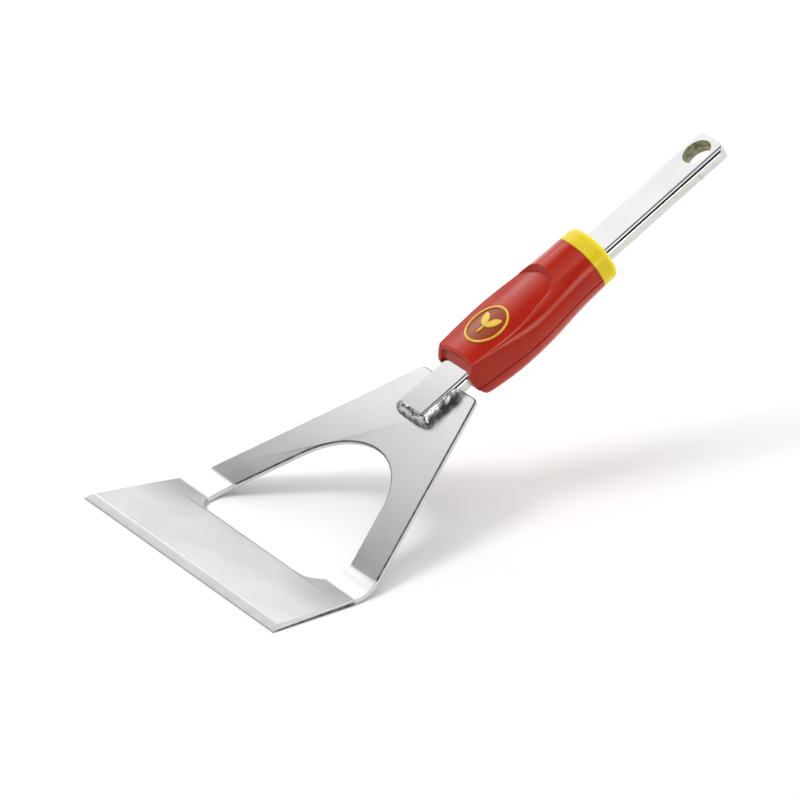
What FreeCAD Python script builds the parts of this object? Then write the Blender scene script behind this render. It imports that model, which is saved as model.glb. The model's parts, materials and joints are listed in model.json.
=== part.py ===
"""Push-pull weeder head: a bent stirrup blade welded to a folded plug-in tang,
with a two-shell grip housing and an end collar.

Millimetres, +Z up. +Y runs from the cutting edge towards the handle, +X is the right-hand side.
The origin is on the blade's underside, on the centre line, midway between cutting edge and window.
Most pieces lie along the tang, so they are drawn in a slope frame (x, s, n): x to the right,
s along the arms from the end of the bend, n above the arms' top surface.
"""
import FreeCAD, Part
import math
import os

Vector = FreeCAD.Vector

# Blade plate: one stamped sheet, flat at the front and bent up into two arms.
SHEET = 2.2
EDGE_HALF = 75.0
FLAT_DEPTH = 40.0
FLAT_REAR_HALF = 69.15
BEND_ANGLE = 31.5
BEND_RADIUS = 24.0
BEND_STEPS = 8
ARM_TAPER = 0.524
ARM_LENGTH = 85.2
NECK_CORNER = 3.0
BEVEL_DEPTH = 3.2
BEVEL_LAND = 0.4
SIDE_BEVEL_WIDTH = 2.0
SIDE_BEVEL_LAND = 1.0

# Window through the plate: straight front, sides parallel to the arms' outer edges, full-round top.
WINDOW_FRONT = 34.5
WINDOW_HALF_AT_BEND = 45.0
WINDOW_CORNER = 12.0
WINDOW_TOP = 45.0
# The top corners' arcs nearly meet: a full round would leave an edge of no length.
NEARLY_ALL = 0.999

# Tang: thick strip folded nearly flat on itself, with its cut edges meeting along the underside.
TANG_WIDTH = 19.5
TANG_HEIGHT = 6.0
TANG_TOP = 3.9
TANG_WALL = 2.85
TANG_FOLD_RADIUS = 2.2
TANG_SEAM = 0.8
TANG_FRONT = 65.5
TANG_END = 231.2
TANG_TIP_RADIUS = 5.0
TANG_FRONT_RADIUS = 0.5
LOCK_HOLE_RADIUS = 6.4
LOCK_HOLE_FROM_END = 8.65
NOTCH_FROM_END = 15.6
NOTCH_LENGTH = 2.7
NOTCH_DEPTH = 1.5

# Weld beads round the tang where it lies on the neck, and under its step at the neck's rear edge.
BEAD_LEG = 3.0
BEAD_SIDE_LEG = 2.6
BEAD_UNDER_LEG = 1.8
BEAD_BULGE = 0.62
BEAD_STOP_SHORT = 1.0

# Grip housing: rounded sections from the mouth to the collar, parted below the tang.
HOUSING_CENTRE = 0.5
# Each station: distance s, half width, height above the centre, depth below it, squareness.
HOUSING_STATIONS = [
    (89.5, 12.4, 11.5, 8.4, 4.0),
    (92.0, 13.3, 11.9, 9.8, 3.9),
    (97.0, 14.3, 12.2, 11.0, 3.6),
    (107.0, 15.9, 12.5, 12.5, 2.9),
    (118.0, 17.0, 12.5, 13.0, 2.5),
    (132.0, 16.0, 12.4, 13.2, 2.25),
    (145.0, 14.4, 12.1, 12.3, 2.2),
    (157.3, 14.0, 12.0, 11.6, 2.2),
]
SECTION_POINTS = 32
HOUSING_WALL = 2.4
CAVITY_FRONT = 98.0
CAVITY_REAR = 154.0
RIB_THICKNESS = 2.0
PARTING = -2.7
PAD_TOP = 9.8
PAD_CROWN_RADIUS = 65.0
PAD_END = 144.2
PAD_END_RADIUS = 14.0
PAD_FLARE_START = 112.0
PAD_OPEN_HALF = 20.0
PAD_EDGE_DROP = 1.8
NOSE_TOP = 94.6
NOSE_UNDERCUT = 4.0
SPIGOT_LENGTH = 4.5
SPIGOT_STEP = 1.8
SPIGOT_CLEARANCE = 0.05

# Collar at the rear end of the housing.
COLLAR_FRONT = 157.4
COLLAR_REAR = 165.3
COLLAR_SHOULDER = 2.6
SHOULDER_STEPS = 4
TANG_CLEARANCE = 0.15

# Round badge inlaid in the pad: an outer ring and a plain two-leaf sprout.
BADGE_S = 110.8
BADGE_RADIUS = 9.9
BADGE_RING = 0.9
BADGE_DEPTH = 0.5
BADGE_PROUD = 0.2
SPROUT_FOOT = -5.6
SPROUT_FORK = -1.4
STEM_BULGE = 0.55
LEAF_REACH = 5.6
LEAF_RISE = 4.6
LEAF_BULGE = 1.9

# Self-tapping screws, driven from below through the tang into the upper shell.
SCREW_STATIONS = (103.0, 138.0)
SCREW_RADIUS = 1.75
SCREW_HEAD_RADIUS = 3.3
SCREW_HEAD_HEIGHT = 2.0
SCREW_HEAD_DEPTH = -9.2
SCREW_TIP = 7.4
SCREW_TIP_GAP = 0.3
SCREW_DRIVE_WIDTH = 1.0
SCREW_DRIVE_LENGTH = 4.0
SCREW_DRIVE_DEPTH = 1.0
TANG_SCREW_HOLE = 2.2
SCREW_CLEARANCE = 0.2
HEAD_CLEARANCE = 0.3
BOSS_RADIUS = 4.2
BOSS_CLEARANCE = 0.3

# REACH is past the part on every side; OVERCUT is how far a cutting shape runs past what it cuts.
REACH = 250.0
OVERCUT = 1.0
EDGE_Y = -WINDOW_FRONT / 2.0
SLOPE = math.radians(BEND_ANGLE)
TANG_BOTTOM = TANG_TOP - TANG_HEIGHT
BEND_LENGTH = BEND_RADIUS * SLOPE
EDGE_TAPER = (EDGE_HALF - FLAT_REAR_HALF) / FLAT_DEPTH
ARM_HALF = FLAT_REAR_HALF - (EDGE_TAPER + ARM_TAPER) / 2.0 * BEND_LENGTH


def box(x0, y0, z0, x1, y1, z1):
    """Box between two corners."""
    return Part.makeBox(x1 - x0, y1 - y0, z1 - z0, Vector(x0, y0, z0))


def cylinder(s, low, high, radius):
    """Cylinder on the centre line at s, standing up in the slope frame from height low to high."""
    return Part.makeCylinder(radius, high - low, Vector(0, s, low), Vector(0, 0, 1))


def polygon_face(points):
    """Flat face through the points, closed back to the first."""
    return Part.Face(Part.makePolygon(points + points[:1]))


def rounded_wire(corners):
    """Closed wire through (point, radius) corners, each rounded by a tangent arc."""
    count = len(corners)
    starts = []
    middles = []
    ends = []
    for i in range(count):
        point, radius = corners[i]
        back = (corners[i - 1][0] - point).normalize()
        ahead = (corners[(i + 1) % count][0] - point).normalize()
        half = back.getAngle(ahead) / 2.0
        cut_back = radius / math.tan(half)
        bisector = (back + ahead).normalize()
        starts.append(point + back * cut_back)
        middles.append(point + bisector * (radius / math.sin(half) - radius))
        ends.append(point + ahead * cut_back)
    edges = []
    for i in range(count):
        if corners[i][1] > 0:
            edges.append(Part.Arc(starts[i], middles[i], ends[i]).toShape())
        following = starts[(i + 1) % count]
        if ends[i].distanceToPoint(following) > 1e-6:
            edges.append(Part.makeLine(ends[i], following))
    return Part.Wire(edges)


def prism(wire, low, high):
    """Solid standing on a wire drawn at height 0, from height low to high."""
    face = Part.Face(wire)
    face.translate(Vector(0, 0, low))
    return face.extrude(Vector(0, 0, high - low))


def place_on_slope(shape):
    """Move a shape drawn in the slope frame to its place on the part."""
    bend_end = Vector(0, EDGE_Y + FLAT_DEPTH + BEND_RADIUS * math.sin(SLOPE),
                      SHEET + BEND_RADIUS * (1.0 - math.cos(SLOPE)))
    placed = shape.copy()
    placed.rotate(Vector(0, 0, 0), Vector(1, 0, 0), BEND_ANGLE)
    placed.translate(bend_end)
    return placed


def outer_half(u):
    """Half width of the plate, u past the start of the bend: the edge's slope changes evenly."""
    return FLAT_REAR_HALF - EDGE_TAPER * u - (ARM_TAPER - EDGE_TAPER) * u * u / (2.0 * BEND_LENGTH)


def window_wire():
    """The window in the unrolled sheet, with y counted from the cutting edge."""
    bend_end = FLAT_DEPTH + BEND_LENGTH
    lean = math.atan(ARM_TAPER)
    top_y = bend_end + WINDOW_TOP
    front_half = WINDOW_HALF_AT_BEND + ARM_TAPER * (bend_end - WINDOW_FRONT)
    top_half = WINDOW_HALF_AT_BEND - ARM_TAPER * WINDOW_TOP
    full_round = top_half / math.tan((math.pi / 2.0 - lean) / 2.0)
    top_radius = NEARLY_ALL * full_round
    return rounded_wire([
        (Vector(-front_half, WINDOW_FRONT, 0), WINDOW_CORNER),
        (Vector(front_half, WINDOW_FRONT, 0), WINDOW_CORNER),
        (Vector(top_half, top_y, 0), top_radius),
        (Vector(-top_half, top_y, 0), top_radius),
    ])


def window_spans():
    """Half widths of the window at even steps through the bend."""
    opening = Part.Face(window_wire())
    spans = []
    for i in range(BEND_STEPS + 1):
        u = BEND_LENGTH * i / BEND_STEPS
        y = FLAT_DEPTH + u
        probe = Part.makeLine(Vector(0, y, 0), Vector(EDGE_HALF, y, 0))
        spans.append((u, opening.common(probe).BoundBox.XMax))
    return spans


def bend_tube(radius):
    """Solid cylinder round the bend's axis, across the whole part."""
    start = Vector(-REACH, EDGE_Y + FLAT_DEPTH, SHEET + BEND_RADIUS)
    return Part.makeCylinder(radius, 2.0 * REACH, start, Vector(1, 0, 0))


def bend_strip(side):
    """One side's strip of the rolled bend, between the window and the outer edge."""
    sections = []
    for u, inner in window_spans():
        angle = u / BEND_RADIUS
        above = BEND_RADIUS - OVERCUT
        below = BEND_RADIUS + SHEET + OVERCUT
        outer = outer_half(u)
        corners = []
        for x, radius in ((inner, above), (outer, above), (outer, below), (inner, below)):
            corners.append(Vector(side * x, EDGE_Y + FLAT_DEPTH + radius * math.sin(angle),
                                  SHEET + BEND_RADIUS - radius * math.cos(angle)))
        sections.append(Part.makePolygon(corners + corners[:1]))
    strip = Part.makeLoft(sections, True, False)
    return bend_tube(BEND_RADIUS + SHEET).cut(bend_tube(BEND_RADIUS)).common(strip)


def bevel_wedge():
    """Wedge ground off the top of the cutting edge."""
    fall = (SHEET - BEVEL_LAND) / BEVEL_DEPTH
    front = EDGE_Y - OVERCUT
    profile = polygon_face([
        Vector(-REACH, front, SHEET + OVERCUT),
        Vector(-REACH, front, BEVEL_LAND - fall * OVERCUT),
        Vector(-REACH, EDGE_Y + BEVEL_DEPTH, SHEET),
        Vector(-REACH, EDGE_Y + BEVEL_DEPTH, SHEET + OVERCUT),
    ])
    return profile.extrude(Vector(2.0 * REACH, 0, 0))


def side_bevel(side):
    """Wedge relieving one side edge of the flat blade, fading out at the bend."""
    low = Vector(side * EDGE_HALF, EDGE_Y, SIDE_BEVEL_LAND)
    high = Vector(side * (EDGE_HALF - SIDE_BEVEL_WIDTH), EDGE_Y, SHEET)
    rear = Vector(side * FLAT_REAR_HALF, EDGE_Y + FLAT_DEPTH, SHEET)
    outside = Vector(side * (EDGE_HALF + 6.0 * OVERCUT), EDGE_Y - 3.0 * OVERCUT, SHEET + 3.0 * OVERCUT)
    faces = [polygon_face([low, high, rear])]
    for p, q in ((low, high), (high, rear), (rear, low)):
        faces.append(polygon_face([p, q, outside]))
    return Part.Solid(Part.Shell(faces))


def flat_blade():
    """The flat front of the plate, with its edges ground and its share of the window."""
    blank = polygon_face([
        Vector(-EDGE_HALF, EDGE_Y, 0),
        Vector(EDGE_HALF, EDGE_Y, 0),
        Vector(FLAT_REAR_HALF, EDGE_Y + FLAT_DEPTH, 0),
        Vector(-FLAT_REAR_HALF, EDGE_Y + FLAT_DEPTH, 0),
    ]).extrude(Vector(0, 0, SHEET))
    window = prism(window_wire(), -OVERCUT, SHEET + OVERCUT)
    window.translate(Vector(0, EDGE_Y, 0))
    return blank.cut([window, bevel_wedge(), side_bevel(-1), side_bevel(1)])


def arms():
    """The two arms and the neck, in the slope frame, with their share of the window."""
    neck_half = ARM_HALF - ARM_TAPER * ARM_LENGTH
    blank = prism(rounded_wire([
        (Vector(-ARM_HALF, 0, 0), 0),
        (Vector(ARM_HALF, 0, 0), 0),
        (Vector(neck_half, ARM_LENGTH, 0), NECK_CORNER),
        (Vector(-neck_half, ARM_LENGTH, 0), NECK_CORNER),
    ]), -SHEET, 0)
    window = prism(window_wire(), -SHEET - OVERCUT, OVERCUT)
    window.translate(Vector(0, -FLAT_DEPTH - BEND_LENGTH, 0))
    return blank.cut(window)


def blade_plate():
    """The whole stamped and bent sheet."""
    plate = flat_blade().fuse([bend_strip(-1), bend_strip(1), place_on_slope(arms())])
    return plate.removeSplitter()


def along_slope(wire, start, end):
    """Solid from a cross-section drawn at s = 0, running from s = start to s = end."""
    face = Part.Face(wire)
    face.translate(Vector(0, start, 0))
    return face.extrude(Vector(0, end - start, 0))


def section_wire(half, low, high, radius):
    """Rounded rectangle across the slope frame, at s = 0."""
    return rounded_wire([
        (Vector(-half, 0, low), radius),
        (Vector(half, 0, low), radius),
        (Vector(half, 0, high), radius),
        (Vector(-half, 0, high), radius),
    ])


def tang_tube():
    """The tang's folded strip, open along the seam underneath, at its full length."""
    half = TANG_WIDTH / 2.0
    outside = along_slope(section_wire(half, TANG_BOTTOM, TANG_TOP, TANG_FOLD_RADIUS),
                          TANG_FRONT, TANG_END)
    gap_half = half - TANG_WALL
    inside = box(-gap_half, TANG_FRONT - OVERCUT, TANG_BOTTOM + TANG_WALL,
                 gap_half, TANG_END + OVERCUT, TANG_TOP - TANG_WALL)
    seam = box(-TANG_SEAM / 2.0, TANG_FRONT - OVERCUT, TANG_BOTTOM - OVERCUT,
               TANG_SEAM / 2.0, TANG_END + OVERCUT, TANG_TOP - TANG_WALL)
    return outside.cut([inside, seam])


def tang_outline():
    """The tang seen from above: square at the neck and rounded at the plug end."""
    half = TANG_WIDTH / 2.0
    return rounded_wire([
        (Vector(-half, TANG_FRONT, 0), TANG_FRONT_RADIUS),
        (Vector(half, TANG_FRONT, 0), TANG_FRONT_RADIUS),
        (Vector(half, TANG_END, 0), TANG_TIP_RADIUS),
        (Vector(-half, TANG_END, 0), TANG_TIP_RADIUS),
    ])


def tang():
    """Folded tang, stepped over the neck, with its lock hole, side notches and screw holes."""
    half = TANG_WIDTH / 2.0
    low = TANG_BOTTOM - OVERCUT
    high = TANG_TOP + OVERCUT
    cuts = [box(-REACH, TANG_FRONT - OVERCUT, low, REACH, ARM_LENGTH, 0)]
    cuts.append(cylinder(TANG_END - LOCK_HOLE_FROM_END, low, high, LOCK_HOLE_RADIUS))
    notch_rear = TANG_END - NOTCH_FROM_END
    for x0, x1 in ((-REACH, NOTCH_DEPTH - half), (half - NOTCH_DEPTH, REACH)):
        cuts.append(box(x0, notch_rear - NOTCH_LENGTH, low, x1, notch_rear, TANG_TOP - TANG_FOLD_RADIUS))
    for s in SCREW_STATIONS:
        cuts.append(cylinder(s, low, high, TANG_SCREW_HOLE))
    return tang_tube().common(prism(tang_outline(), low, high)).cut(cuts)


def fillet_bead(leg, length):
    """Convex fillet weld in the corner along +Y, its legs on +X and +Z."""
    bulge = BEAD_BULGE * leg
    section = Part.Wire([
        Part.makeLine(Vector(0, 0, 0), Vector(leg, 0, 0)),
        Part.Arc(Vector(leg, 0, 0), Vector(bulge, 0, bulge), Vector(0, 0, leg)).toShape(),
        Part.makeLine(Vector(0, 0, leg), Vector(0, 0, 0)),
    ])
    return along_slope(section, 0, length)


def side_weld(side):
    """Weld bead along one side of the tang, on top of the neck."""
    bead = fillet_bead(BEAD_SIDE_LEG, ARM_LENGTH - BEAD_STOP_SHORT - TANG_FRONT)
    if side < 0:
        bead = bead.mirror(Vector(0, 0, 0), Vector(1, 0, 0))
    bead.translate(Vector(side * TANG_WIDTH / 2.0, TANG_FRONT, 0))
    return bead


def front_weld():
    """Weld bead across the tang's front end, closing the folded tube."""
    bead = fillet_bead(BEAD_LEG, TANG_WIDTH)
    bead.rotate(Vector(0, 0, 0), Vector(0, 0, 1), -90.0)
    bead.translate(Vector(-TANG_WIDTH / 2.0, TANG_FRONT, 0))
    return bead


def under_weld():
    """Weld bead in the corner under the tang's step, against the neck's rear edge."""
    half = TANG_WIDTH / 2.0 - TANG_FOLD_RADIUS
    bead = fillet_bead(BEAD_UNDER_LEG, 2.0 * half)
    bead.rotate(Vector(0, 0, 0), Vector(0, 0, 1), -90.0)
    bead.rotate(Vector(0, 0, 0), Vector(1, 0, 0), 180.0)
    bead.translate(Vector(-half, ARM_LENGTH, -SHEET))
    return bead


def superellipse_wire(s, half, above, below, power, shrink=0.0):
    """Closed cross-section of the housing at s, drawn in by the amount shrink."""
    points = []
    for i in range(SECTION_POINTS):
        angle = 2.0 * math.pi * i / SECTION_POINTS
        across = math.cos(angle)
        up = math.sin(angle)
        height = (above if up > 0 else below) - shrink
        x = (half - shrink) * math.copysign(abs(across) ** (2.0 / power), across)
        z = height * math.copysign(abs(up) ** (2.0 / power), up)
        points.append(Vector(x, s, HOUSING_CENTRE + z))
    curve = Part.BSplineCurve()
    curve.interpolate(Points=points, PeriodicFlag=True)
    return Part.Wire(curve.toShape())


def housing_body(shrink=0.0):
    """Smooth housing shape before the pad, nose and parting are cut."""
    wires = [superellipse_wire(*station, shrink=shrink) for station in HOUSING_STATIONS]
    return Part.makeLoft(wires, True, False)


def crown(offset):
    """Cylinder along the slope whose top is the crowned pad, raised by the amount offset."""
    return Part.makeCylinder(PAD_CROWN_RADIUS + offset, REACH,
                             Vector(0, 0, PAD_TOP - PAD_CROWN_RADIUS), Vector(0, 1, 0))


def pad_cutter():
    """Everything above the crowned pad, ending in the rounded step before the collar."""
    centre = PAD_END - PAD_END_RADIUS
    front_left = Vector(-PAD_OPEN_HALF, TANG_FRONT, 0)
    front_right = Vector(PAD_OPEN_HALF, TANG_FRONT, 0)
    flare_left = Vector(-PAD_OPEN_HALF, PAD_FLARE_START, 0)
    flare_right = Vector(PAD_OPEN_HALF, PAD_FLARE_START, 0)
    arch_left = Vector(-PAD_END_RADIUS, centre, 0)
    arch_right = Vector(PAD_END_RADIUS, centre, 0)
    outline = Part.Wire([
        Part.makeLine(front_left, front_right),
        Part.makeLine(front_right, flare_right),
        Part.makeLine(flare_right, arch_right),
        Part.Arc(arch_right, Vector(0, PAD_END, 0), arch_left).toShape(),
        Part.makeLine(arch_left, flare_left),
        Part.makeLine(flare_left, front_left),
    ])
    return prism(outline, 0, REACH).cut(crown(0))


def nose_cutter():
    """Space in front of the nose: slanted back above the tang and, less, below it."""
    mouth = HOUSING_STATIONS[0][0]
    front = mouth - 5.0 * OVERCUT
    underside = TANG_BOTTOM - 2.0 * NOSE_UNDERCUT
    above = polygon_face([
        Vector(-REACH, front, TANG_TOP),
        Vector(-REACH, mouth, TANG_TOP),
        Vector(-REACH, NOSE_TOP, PAD_TOP),
        Vector(-REACH, NOSE_TOP, 2.0 * PAD_TOP),
        Vector(-REACH, front, 2.0 * PAD_TOP),
    ]).extrude(Vector(2.0 * REACH, 0, 0))
    below = polygon_face([
        Vector(-REACH, front, TANG_BOTTOM),
        Vector(-REACH, mouth, TANG_BOTTOM),
        Vector(-REACH, mouth + NOSE_UNDERCUT, underside),
        Vector(-REACH, front, underside),
    ]).extrude(Vector(2.0 * REACH, 0, 0))
    return above.fuse(below)


def spigot():
    """Reduced rear end of the housing, which the collar fits over."""
    wire = superellipse_wire(*HOUSING_STATIONS[-1], shrink=SPIGOT_STEP)
    return Part.Face(wire).extrude(Vector(0, SPIGOT_LENGTH, 0))


def tang_slot():
    """Clearance for the tang through the housing and collar."""
    wire = section_wire(TANG_WIDTH / 2.0 + TANG_CLEARANCE, TANG_BOTTOM - TANG_CLEARANCE,
                        TANG_TOP + TANG_CLEARANCE, TANG_FOLD_RADIUS)
    return along_slope(wire, TANG_FRONT, TANG_END)


def housing_solid():
    """Outside of both shells together, still solid."""
    return housing_body().cut([pad_cutter(), nose_cutter()]).fuse(spigot())


def housing_cavity():
    """Hollow inside the shells, crossed by a middle rib and the screw bosses."""
    lid = box(-REACH, TANG_FRONT, PAD_TOP - PAD_EDGE_DROP - HOUSING_WALL,
              REACH, PAD_END + HOUSING_WALL, REACH)
    span = box(-REACH, CAVITY_FRONT, -REACH, REACH, CAVITY_REAR, REACH)
    hollow = housing_body(shrink=HOUSING_WALL).common(span).cut(lid)
    middle = sum(SCREW_STATIONS) / 2.0
    keep = [box(-REACH, middle - RIB_THICKNESS / 2.0, -REACH,
                REACH, middle + RIB_THICKNESS / 2.0, REACH)]
    for s in SCREW_STATIONS:
        keep.append(cylinder(s, -REACH, REACH, BOSS_RADIUS))
    return hollow.cut(keep)


def housing_upper_shell():
    """Shell above the parting plane, with pilot holes for the screws and the badge's recess."""
    half_space = box(-REACH, 0, PARTING, REACH, REACH, REACH)
    cuts = [housing_cavity(), tang_slot(), badge_ring(OVERCUT), badge_sprout(OVERCUT)]
    for s in SCREW_STATIONS:
        cuts.append(cylinder(s, TANG_TOP, SCREW_TIP, SCREW_RADIUS))
        cuts.append(cylinder(s, PARTING, TANG_BOTTOM, BOSS_RADIUS + BOSS_CLEARANCE))
    return housing_solid().common(half_space).cut(cuts)


def housing_lower_shell():
    """Shell below the parting plane, its bosses reaching up to the tang, with screw holes."""
    half_space = box(-REACH, 0, -REACH, REACH, REACH, PARTING)
    shell = housing_solid().common(half_space).cut([housing_cavity(), tang_slot()])
    bosses = [cylinder(s, PARTING - OVERCUT, TANG_BOTTOM, BOSS_RADIUS) for s in SCREW_STATIONS]
    cuts = []
    for s in SCREW_STATIONS:
        cuts.append(cylinder(s, -REACH, TANG_BOTTOM + OVERCUT, SCREW_RADIUS + SCREW_CLEARANCE))
        cuts.append(cylinder(s, -REACH, SCREW_HEAD_DEPTH + SCREW_HEAD_HEIGHT,
                             SCREW_HEAD_RADIUS + HEAD_CLEARANCE))
    return shell.fuse(bosses).cut(cuts)


def collar():
    """End collar over the spigot, with a rounded rear shoulder and the tang slot."""
    rear_station, *sizes = HOUSING_STATIONS[-1]
    shoulder_start = COLLAR_REAR - COLLAR_SHOULDER
    straight = Part.Face(superellipse_wire(COLLAR_FRONT, *sizes))
    straight = straight.extrude(Vector(0, shoulder_start - COLLAR_FRONT, 0))
    rings = []
    for i in range(SHOULDER_STEPS + 1):
        angle = math.pi / 2.0 * i / SHOULDER_STEPS
        at = shoulder_start + COLLAR_SHOULDER * math.sin(angle)
        inset = COLLAR_SHOULDER * (1.0 - math.cos(angle))
        rings.append(superellipse_wire(at, *sizes, shrink=inset))
    body = straight.fuse(Part.makeLoft(rings, True, False))
    socket_wire = superellipse_wire(rear_station, *sizes, shrink=SPIGOT_STEP - SPIGOT_CLEARANCE)
    socket = Part.Face(socket_wire).extrude(Vector(0, SPIGOT_LENGTH + 2.0 * SPIGOT_CLEARANCE, 0))
    return body.cut([socket, tang_slot()])


def on_pad(wire, top):
    """Thin inlay standing on a plan outline, following the pad and rising above it by top."""
    low = PAD_TOP - BADGE_DEPTH
    column = prism(wire, low - OVERCUT, PAD_TOP + 2.0 * OVERCUT)
    return column.common(crown(top)).cut(crown(-BADGE_DEPTH))


def badge_ring(top):
    """The badge's outer ring."""
    centre = Vector(0, BADGE_S, 0)
    outer = Part.Wire(Part.makeCircle(BADGE_RADIUS, centre))
    inner = Part.Wire(Part.makeCircle(BADGE_RADIUS - BADGE_RING, centre))
    return on_pad(outer, top).cut(on_pad(inner, top + OVERCUT))


def leaf_wire(base, tip, bulge):
    """Pointed leaf between two points, with both edges bowed out by the amount bulge."""
    middle = (base + tip) * 0.5
    along = (tip - base).normalize()
    across = Vector(-along.y, along.x, 0)
    return Part.Wire([
        Part.Arc(base, middle + across * bulge, tip).toShape(),
        Part.Arc(tip, middle - across * bulge, base).toShape(),
    ])


def badge_sprout(top):
    """A plain sprout inside the ring: two leaves on a short stem."""
    foot = Vector(0, BADGE_S + SPROUT_FOOT, 0)
    fork = Vector(0, BADGE_S + SPROUT_FORK, 0)
    stem = on_pad(leaf_wire(foot, fork + Vector(0, OVERCUT, 0), STEM_BULGE), top)
    leaves = []
    for side in (-1, 1):
        tip = Vector(side * LEAF_REACH, BADGE_S + LEAF_RISE, 0)
        leaves.append(on_pad(leaf_wire(fork, tip, LEAF_BULGE), top))
    return stem.fuse(leaves).removeSplitter()


def shell_screw(s):
    """One self-tapping screw with a cross recess in its head."""
    head_top = SCREW_HEAD_DEPTH + SCREW_HEAD_HEIGHT
    shank = cylinder(s, SCREW_HEAD_DEPTH + SCREW_DRIVE_DEPTH, SCREW_TIP - SCREW_TIP_GAP, SCREW_RADIUS)
    head = cylinder(s, SCREW_HEAD_DEPTH, head_top, SCREW_HEAD_RADIUS)
    recess = []
    for width, length in ((SCREW_DRIVE_WIDTH, SCREW_DRIVE_LENGTH),
                          (SCREW_DRIVE_LENGTH, SCREW_DRIVE_WIDTH)):
        recess.append(box(-width / 2.0, s - length / 2.0, SCREW_HEAD_DEPTH - OVERCUT,
                          width / 2.0, s + length / 2.0, SCREW_HEAD_DEPTH + SCREW_DRIVE_DEPTH))
    return head.fuse(shank).cut(recess)


def build():
    """Every node's name and its placed shape."""
    sloped = {
        "tang": tang(),
        "weld_front": front_weld(),
        "weld_left": side_weld(-1),
        "weld_right": side_weld(1),
        "weld_under": under_weld(),
        "housing_upper_shell": housing_upper_shell(),
        "housing_lower_shell": housing_lower_shell(),
        "collar": collar(),
        "badge_ring": badge_ring(BADGE_PROUD),
        "badge_sprout": badge_sprout(BADGE_PROUD),
        "shell_screws": Part.makeCompound([shell_screw(s) for s in SCREW_STATIONS]),
    }
    nodes = {"blade_plate": blade_plate()}
    for name, shape in sloped.items():
        nodes[name] = place_on_slope(shape)
    return nodes


os.makedirs("parts", exist_ok=True)
for node_name, node_shape in build().items():
    node_shape.exportStep("parts/" + node_name + ".step")
    print(node_name, node_shape.isValid(), len(node_shape.Solids), round(node_shape.Volume, 1))
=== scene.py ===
"""Looks of the push-pull weeder head: plated blade, folded tang, red grip housing and yellow collar.

Lengths are millimetres until a mesh is made, and metres after that. Most pieces lie along the tang,
so they are drawn in a slope frame (x, s, n): x to the right, s along the arms from the end of the
bend, n above the arms' top surface. The slope frame's place is read from the record's mounts.
"""

import json
import math
import random

import bmesh
import bpy
import numpy as np
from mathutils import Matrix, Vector, noise


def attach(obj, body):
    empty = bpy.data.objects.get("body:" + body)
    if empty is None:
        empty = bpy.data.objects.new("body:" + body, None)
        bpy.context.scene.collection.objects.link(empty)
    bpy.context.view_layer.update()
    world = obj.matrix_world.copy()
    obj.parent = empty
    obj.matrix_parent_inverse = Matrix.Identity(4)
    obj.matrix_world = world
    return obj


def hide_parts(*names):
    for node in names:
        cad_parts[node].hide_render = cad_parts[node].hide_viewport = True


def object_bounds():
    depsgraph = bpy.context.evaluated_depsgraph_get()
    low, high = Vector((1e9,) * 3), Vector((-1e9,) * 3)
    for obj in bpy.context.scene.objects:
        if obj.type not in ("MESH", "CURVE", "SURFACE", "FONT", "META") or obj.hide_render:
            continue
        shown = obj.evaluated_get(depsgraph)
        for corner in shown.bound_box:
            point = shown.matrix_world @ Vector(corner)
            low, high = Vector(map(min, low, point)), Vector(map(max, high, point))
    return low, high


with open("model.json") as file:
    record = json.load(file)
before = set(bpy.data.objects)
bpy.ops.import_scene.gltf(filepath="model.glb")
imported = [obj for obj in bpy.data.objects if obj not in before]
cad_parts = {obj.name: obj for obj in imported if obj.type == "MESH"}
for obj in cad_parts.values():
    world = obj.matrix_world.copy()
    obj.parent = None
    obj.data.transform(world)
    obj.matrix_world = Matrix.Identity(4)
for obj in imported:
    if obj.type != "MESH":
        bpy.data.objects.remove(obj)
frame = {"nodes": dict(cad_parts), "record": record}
bpy.context.view_layer.update()
cad_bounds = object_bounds()

MM = 0.001
MOUNTS = {mount["name"]: mount for mount in frame["record"]["mounts"]}

# Blade plate.
SHEET = 2.2
EDGE_HALF = 75.0
FLAT_DEPTH = 40.0
FLAT_REAR_HALF = 69.15
BEND_RADIUS = 24.0
ARM_TAPER = 0.524
ARM_LENGTH = 85.2
NECK_CORNER = 3.0
BEVEL_DEPTH = 3.2
BEVEL_LAND = 0.4
SIDE_BEVEL_WIDTH = 2.0
SIDE_BEVEL_LAND = 1.0
WINDOW_FRONT = 34.5
WINDOW_HALF_AT_BEND = 45.0
WINDOW_CORNER = 12.0
WINDOW_TOP = 45.0
SHEARED_EDGE = 0.55
BEND_MARGIN = 0.5
LEVEL_FACE = 0.97
FLAT_CUTS = 9
BEND_CUTS = 25

# Order of the materials on the blade. The sheared rim's near-black is partly painted shade and
# reflection.
PLATED, SHEARED_SHADED, GROUND = 0, 1, 2

# Wear along the cutting edge: spacing of its points, their unevenness, and its nicks.
EDGE_SEED = 7
EDGE_STEP = (1.2, 2.4)
EDGE_STOP_SHORT = 1.0
EDGE_UNEVEN = 0.025
NICK_CHANCE = 0.05
NICK_STOP_SHORT = 3.0
NICK_WIDTH = (0.25, 0.6)
NICK_DEPTH = (0.15, 0.4)
NICK_LOWEST = 0.4
NICK_GAP = 0.5

# Tang.
TANG_WIDTH = 19.5
TANG_TOP = 3.9
TANG_BOTTOM = -2.1
TANG_FRONT = 65.5
TANG_END = 231.2
LOCK_HOLE_RADIUS = 6.4
LOCK_HOLE_FROM_END = 8.65
HOLE_MARGIN = 0.4
HOLE_WALL_FACING = 0.8
FLANK_FACING = 0.93

# Places of the hole's wall, darkened with painted shade, and of the flank, toned as a painted
# reflection, in the tang's materials, after the plated top.
SHADED_HOLE_WALL, FLANK_REFLECTION_TONE = 1, 2

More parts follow.
